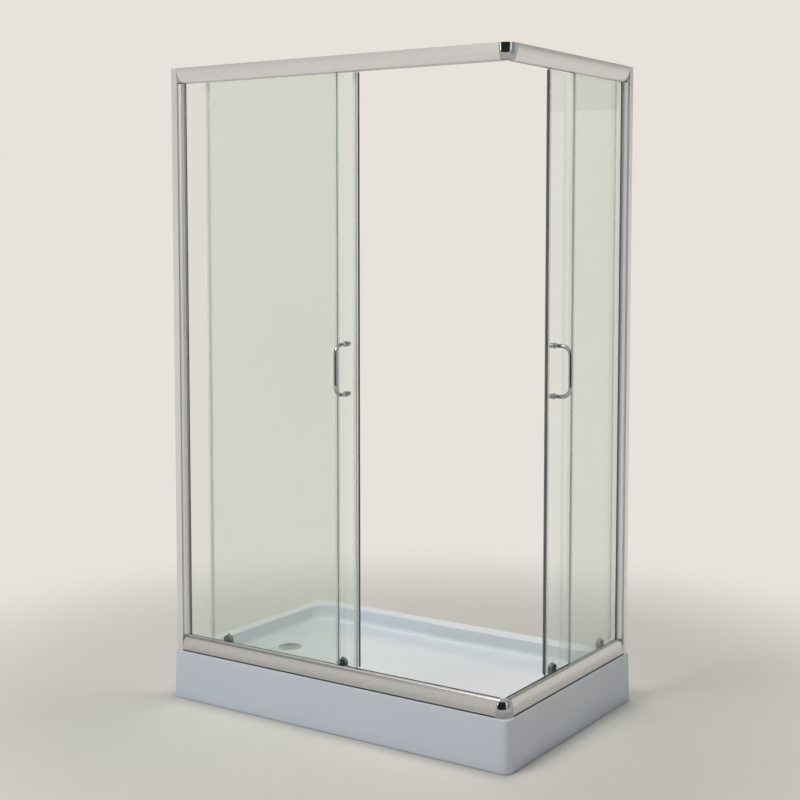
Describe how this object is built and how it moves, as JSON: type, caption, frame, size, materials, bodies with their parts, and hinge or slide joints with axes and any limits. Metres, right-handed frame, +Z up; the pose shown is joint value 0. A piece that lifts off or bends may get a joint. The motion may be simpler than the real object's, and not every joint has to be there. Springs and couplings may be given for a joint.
{
  "type": "shower enclosure",
  "caption": "Corner shower enclosure on a low tray: a fixed pane and a sliding glass door on each open side, meeting at the corner.",
  "frame": {"origin": "on the floor, in the middle of the plan outline with both door handles in it", "axes": "+Z up; +X along the long glazed side, away from its wall; the long glazed side faces -Y and the short one +X"},
  "size_m": [1.221, 0.781, 1.965],
  "materials": {
    "acrylic_white": "gloss",
    "aluminium_bright": "bright anodised",
    "chrome": "polished",
    "steel_polished": "satin",
    "steel_zinc": "zinc plated",
    "steel_frame": "galvanised",
    "glass_clear": "clear toughened",
    "seal_clear": "clear soft plastic",
    "magnet_dark": "satin",
    "rubber_dark": "matte",
    "plastic_white": "satin",
    "plastic_grey": "satin",
    "plastic_black": "matte",
    "nylon_white": "satin"
  },
  "bodies": {
    "root": {"tray_shell": "acrylic_white", "tray_support_frame": "steel_frame", "foot_rods": "steel_zinc", "foot_pads": "plastic_black", "foot_nuts": "steel_zinc", "waste_flange": "steel_polished", "waste_gasket": "rubber_dark", "waste_cover": "chrome", "waste_trap": "plastic_white", "wall_channel_left": "aluminium_bright", "wall_channel_right": "aluminium_bright", "upright_left": "aluminium_bright", "upright_right": "aluminium_bright", "upright_gaskets": "rubber_dark", "sill_base_strips": "rubber_dark", "glazing_rubbers": "rubber_dark", "corner_cap_top": "chrome", "corner_cap_bottom": "chrome", "fixed_edge_seals": "seal_clear", "door_stops": "rubber_dark", "frame_screws": "steel_zinc", "sill_front": "aluminium_bright", "header_front": "aluminium_bright", "fixed_glass_front": "glass_clear", "sill_side": "aluminium_bright", "header_side": "aluminium_bright", "fixed_glass_side": "glass_clear"},
    "front_door": {"front_door_glass": "glass_clear", "front_magnet_seal": "seal_clear", "front_magnet_strip": "magnet_dark", "front_wipe_seal": "seal_clear", "front_handle": "chrome", "front_handle_fixings": "chrome", "front_roller_hangers": "chrome", "front_roller_housings": "plastic_grey", "front_release_spring_trailing": "steel_zinc", "front_release_spring_leading": "steel_zinc"},
    "front_top_roller_trailing": {"front_top_wheel_trailing": "nylon_white"},
    "front_release_trailing_slider": {"front_release_trailing": "plastic_grey"},
    "front_bottom_roller_trailing": {"front_bottom_wheel_trailing": "nylon_white"},
    "front_top_roller_leading": {"front_top_wheel_leading": "nylon_white"},
    "front_release_leading_slider": {"front_release_leading": "plastic_grey"},
    "front_bottom_roller_leading": {"front_bottom_wheel_leading": "nylon_white"},
    "side_door": {"side_door_glass": "glass_clear", "side_magnet_seal": "seal_clear", "side_magnet_strip": "magnet_dark", "side_wipe_seal": "seal_clear", "side_handle": "chrome", "side_handle_fixings": "chrome", "side_roller_hangers": "chrome", "side_roller_housings": "plastic_grey", "side_release_spring_trailing": "steel_zinc", "side_release_spring_leading": "steel_zinc"},
    "side_top_roller_trailing": {"side_top_wheel_trailing": "nylon_white"},
    "side_release_trailing_slider": {"side_release_trailing": "plastic_grey"},
    "side_bottom_roller_trailing": {"side_bottom_wheel_trailing": "nylon_white"},
    "side_top_roller_leading": {"side_top_wheel_leading": "nylon_white"},
    "side_release_leading_slider": {"side_release_leading": "plastic_grey"},
    "side_bottom_roller_leading": {"side_bottom_wheel_leading": "nylon_white"}
  },
  "joints": [
    {"name": "front_door_slide", "type": "slide", "parent": "root", "child": "front_door", "axis": [1, 0, 0], "range_m": [0, 0.4759]},
    {"name": "front_top_wheel_spin_trailing", "type": "hinge", "parent": "front_door", "child": "front_top_roller_trailing", "pos_m": [-0.4355, -0.3345, 1.9424], "axis": [0, 1, 0], "range_deg": [0, 2840.8]},
    {"name": "front_release_press_trailing", "type": "slide", "parent": "front_door", "child": "front_release_trailing_slider", "axis": [0, 0, -1], "range_m": [0, 0.005], "stiffness_N_per_m": 500, "springref_m": -0.004, "deforming": ["front_release_spring_trailing"]},
    {"name": "front_bottom_wheel_spin_trailing", "type": "hinge", "parent": "front_release_trailing_slider", "child": "front_bottom_roller_trailing", "pos_m": [-0.4355, -0.3345, 0.1761], "axis": [0, 1, 0], "range_deg": [-2840.8, 0]},
    {"name": "front_top_wheel_spin_leading", "type": "hinge", "parent": "front_door", "child": "front_top_roller_leading", "pos_m": [0.0025, -0.3345, 1.9424], "axis": [0, 1, 0], "range_deg": [0, 2840.8]},
    {"name": "front_release_press_leading", "type": "slide", "parent": "front_door", "child": "front_release_leading_slider", "axis": [0, 0, -1], "range_m": [0, 0.005], "stiffness_N_per_m": 500, "springref_m": -0.004, "deforming": ["front_release_spring_leading"]},
    {"name": "front_bottom_wheel_spin_leading", "type": "hinge", "parent": "front_release_leading_slider", "child": "front_bottom_roller_leading", "pos_m": [0.0025, -0.3345, 0.1761], "axis": [0, 1, 0], "range_deg": [-2840.8, 0]},
    {"name": "side_door_slide", "type": "slide", "parent": "root", "child": "side_door", "axis": [0, -1, 0], "range_m": [0, 0.2339]},
    {"name": "side_top_wheel_spin_trailing", "type": "hinge", "parent": "side_door", "child": "side_top_roller_trailing", "pos_m": [0.5545, 0.2825, 1.9424], "axis": [1, 0, 0], "range_deg": [0, 1396.5]},
    {"name": "side_release_press_trailing", "type": "slide", "parent": "side_door", "child": "side_release_trailing_slider", "axis": [0, 0, -1], "range_m": [0, 0.005], "stiffness_N_per_m": 500, "springref_m": -0.004, "deforming": ["side_release_spring_trailing"]},
    {"name": "side_bottom_wheel_spin_trailing", "type": "hinge", "parent": "side_release_trailing_slider", "child": "side_bottom_roller_trailing", "pos_m": [0.5545, 0.2825, 0.1761], "axis": [1, 0, 0], "range_deg": [-1396.5, 0]},
    {"name": "side_top_wheel_spin_leading", "type": "hinge", "parent": "side_door", "child": "side_top_roller_leading", "pos_m": [0.5545, -0.0245, 1.9424], "axis": [1, 0, 0], "range_deg": [0, 1396.5]},
    {"name": "side_release_press_leading", "type": "slide", "parent": "side_door", "child": "side_release_leading_slider", "axis": [0, 0, -1], "range_m": [0, 0.005], "stiffness_N_per_m": 500, "springref_m": -0.004, "deforming": ["side_release_spring_leading"]},
    {"name": "side_bottom_wheel_spin_leading", "type": "hinge", "parent": "side_release_leading_slider", "child": "side_bottom_roller_leading", "pos_m": [0.5545, -0.0245, 0.1761], "axis": [1, 0, 0], "range_deg": [-1396.5, 0]}
  ],
  "couplings": [
    {"joint": "front_top_wheel_spin_trailing", "follows": "front_door_slide", "rad_per_m": 104.17},
    {"joint": "front_bottom_wheel_spin_trailing", "follows": "front_door_slide", "rad_per_m": -104.17},
    {"joint": "front_top_wheel_spin_leading", "follows": "front_door_slide", "rad_per_m": 104.17},
    {"joint": "front_bottom_wheel_spin_leading", "follows": "front_door_slide", "rad_per_m": -104.17},
    {"joint": "side_top_wheel_spin_trailing", "follows": "side_door_slide", "rad_per_m": 104.17},
    {"joint": "side_bottom_wheel_spin_trailing", "follows": "side_door_slide", "rad_per_m": -104.17},
    {"joint": "side_top_wheel_spin_leading", "follows": "side_door_slide", "rad_per_m": 104.17},
    {"joint": "side_bottom_wheel_spin_leading", "follows": "side_door_slide", "rad_per_m": -104.17}
  ]
}
